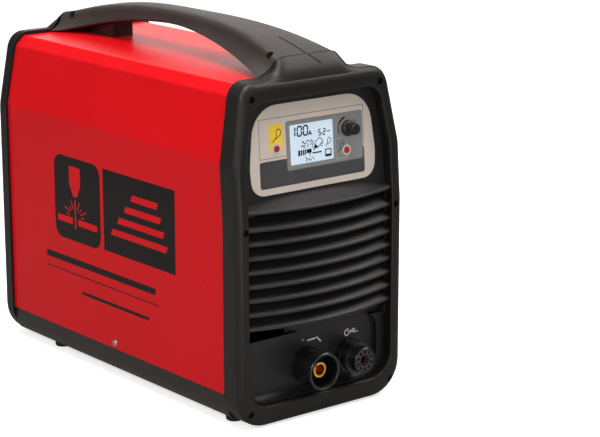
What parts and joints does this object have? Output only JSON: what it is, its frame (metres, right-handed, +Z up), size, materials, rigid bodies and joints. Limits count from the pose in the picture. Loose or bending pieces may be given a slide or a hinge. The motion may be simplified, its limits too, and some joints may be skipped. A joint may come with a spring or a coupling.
{
  "type": "plasma cutter unit",
  "caption": "Portable air plasma cutter power source: steel cover between moulded end frames, carrying arch, control panel, bowed louvre grille, earth and torch sockets.",
  "frame": {"origin": "on the ground under the middle of the unit's overall size, sockets and cable gland included", "axes": "+Z is up, -Y is the front with the control panel and sockets, +X is to the right as seen from the front"},
  "size_m": [0.24, 0.5278, 0.4377],
  "materials": {
    "frame_plastic": "fine matte grain",
    "grille_plastic": "fine matte grain",
    "handle_plastic": "textured",
    "red_paint": "smooth powder coat, half gloss",
    "dark_paint": "powder coat, half gloss",
    "panel_foil": "satin printed foil on a plate",
    "clear_plastic": "clear",
    "black_plastic": "matte",
    "gloss_black": "half gloss",
    "red_button": "satin",
    "orange_plastic": "satin",
    "brass_part": "turned",
    "copper_part": "drawn copper",
    "zinc_steel": "zinc plated",
    "black_steel": "black oxide",
    "alu": "extruded, plain",
    "board_green": "solder resist",
    "ferrite": "sintered, matte",
    "winding_copper": "enamelled wire",
    "sleeve_blue": "shrink sleeve",
    "hose_blue": "hose",
    "rubber_foot": "matte",
    "white_paint": "matte"
  },
  "bodies": {
    "unit": {"front_frame": "frame_plastic", "front_grille": "grille_plastic", "front_screws": "black_steel", "control_panel": "panel_foil", "lcd_window": "clear_plastic", "lcd_module": "black_plastic", "display_board": "board_green", "encoder_body": "zinc_steel", "earth_socket_body": "gloss_black", "earth_socket_insert": "brass_part", "earth_socket_nut": "zinc_steel", "torch_socket_body": "gloss_black", "torch_socket_core": "black_plastic", "torch_socket_tube": "copper_part", "torch_socket_nut": "zinc_steel", "cover": "red_paint", "cover_screws": "zinc_steel", "base_tray": "dark_paint", "feet": "rubber_foot", "rear_frame": "frame_plastic", "rear_plate": "dark_paint", "rear_screws": "black_steel", "handle": "handle_plastic", "handle_support": "black_plastic", "handle_screws": "black_steel", "fan_frame": "black_plastic", "main_switch_body": "gloss_black", "cable_gland": "black_plastic", "gland_nut": "black_plastic", "air_inlet": "brass_part", "regulator_body": "alu", "gauge_body": "gloss_black", "gauge_lens": "clear_plastic", "solenoid_valve": "black_plastic", "air_hose_in": "hose_blue", "air_hose_link": "hose_blue", "air_hose_out": "hose_blue", "deck_plate": "zinc_steel", "deck_posts": "zinc_steel", "heat_sink": "alu", "power_modules": "black_plastic", "power_board": "board_green", "control_board": "board_green", "capacitors": "sleeve_blue", "transformer_core": "ferrite", "transformer_winding": "winding_copper", "inductor_core": "ferrite", "inductor_winding": "winding_copper", "earth_busbar": "copper_part", "torch_busbar": "copper_part"},
    "left_button": {"left_button": "red_button"},
    "right_button": {"right_button": "red_button"},
    "encoder_push": {"encoder_shaft": "zinc_steel"},
    "encoder_dial": {"encoder_knob": "black_plastic"},
    "main_switch": {"main_switch_knob": "gloss_black"},
    "fan": {"fan_rotor": "black_plastic"},
    "regulator_collar": {"regulator_lock_ring": "orange_plastic"},
    "regulator_dial": {"regulator_knob": "gloss_black"},
    "needle": {"gauge_needle": "white_paint"}
  },
  "joints": [
    {"name": "left_button_press", "type": "slide", "parent": "unit", "child": "left_button", "axis": [0, 0.9974, -0.0715], "range_m": [0, 0.001], "stiffness_N_per_m": 300},
    {"name": "right_button_press", "type": "slide", "parent": "unit", "child": "right_button", "axis": [0, 0.9974, -0.0715], "range_m": [0, 0.001], "stiffness_N_per_m": 300},
    {"name": "encoder_press", "type": "slide", "parent": "unit", "child": "encoder_push", "axis": [0, 0.9974, -0.0715], "range_m": [0, 0.0005], "stiffness_N_per_m": 800},
    {"name": "encoder_turn", "type": "hinge", "parent": "encoder_push", "child": "encoder_dial", "pos_m": [0.0494, -0.22959, 0.3238], "axis": [0, 0.9974, -0.0715], "continuous": true},
    {"name": "main_switch_turn", "type": "hinge", "parent": "unit", "child": "main_switch", "pos_m": [-0.052, 0.23395, 0.3095], "axis": [0, -1, 0], "range_deg": [0, 90]},
    {"name": "fan_spin", "type": "hinge", "parent": "unit", "child": "fan", "pos_m": [0, 0.21305, 0.1195], "axis": [0, 1, 0], "continuous": true},
    {"name": "regulator_lift", "type": "slide", "parent": "unit", "child": "regulator_collar", "axis": [0, 1, 0], "range_m": [0, 0.004]},
    {"name": "regulator_turn", "type": "hinge", "parent": "regulator_collar", "child": "regulator_dial", "pos_m": [0.04, 0.23395, 0.2935], "axis": [0, 1, 0], "continuous": true},
    {"name": "gauge_sweep", "type": "hinge", "parent": "unit", "child": "needle", "pos_m": [0.084, 0.23395, 0.2935], "axis": [0, -1, 0], "range_deg": [0, 270], "stiffness_Nm_per_rad": 0.0001, "springref_deg": -17.19}
  ]
}
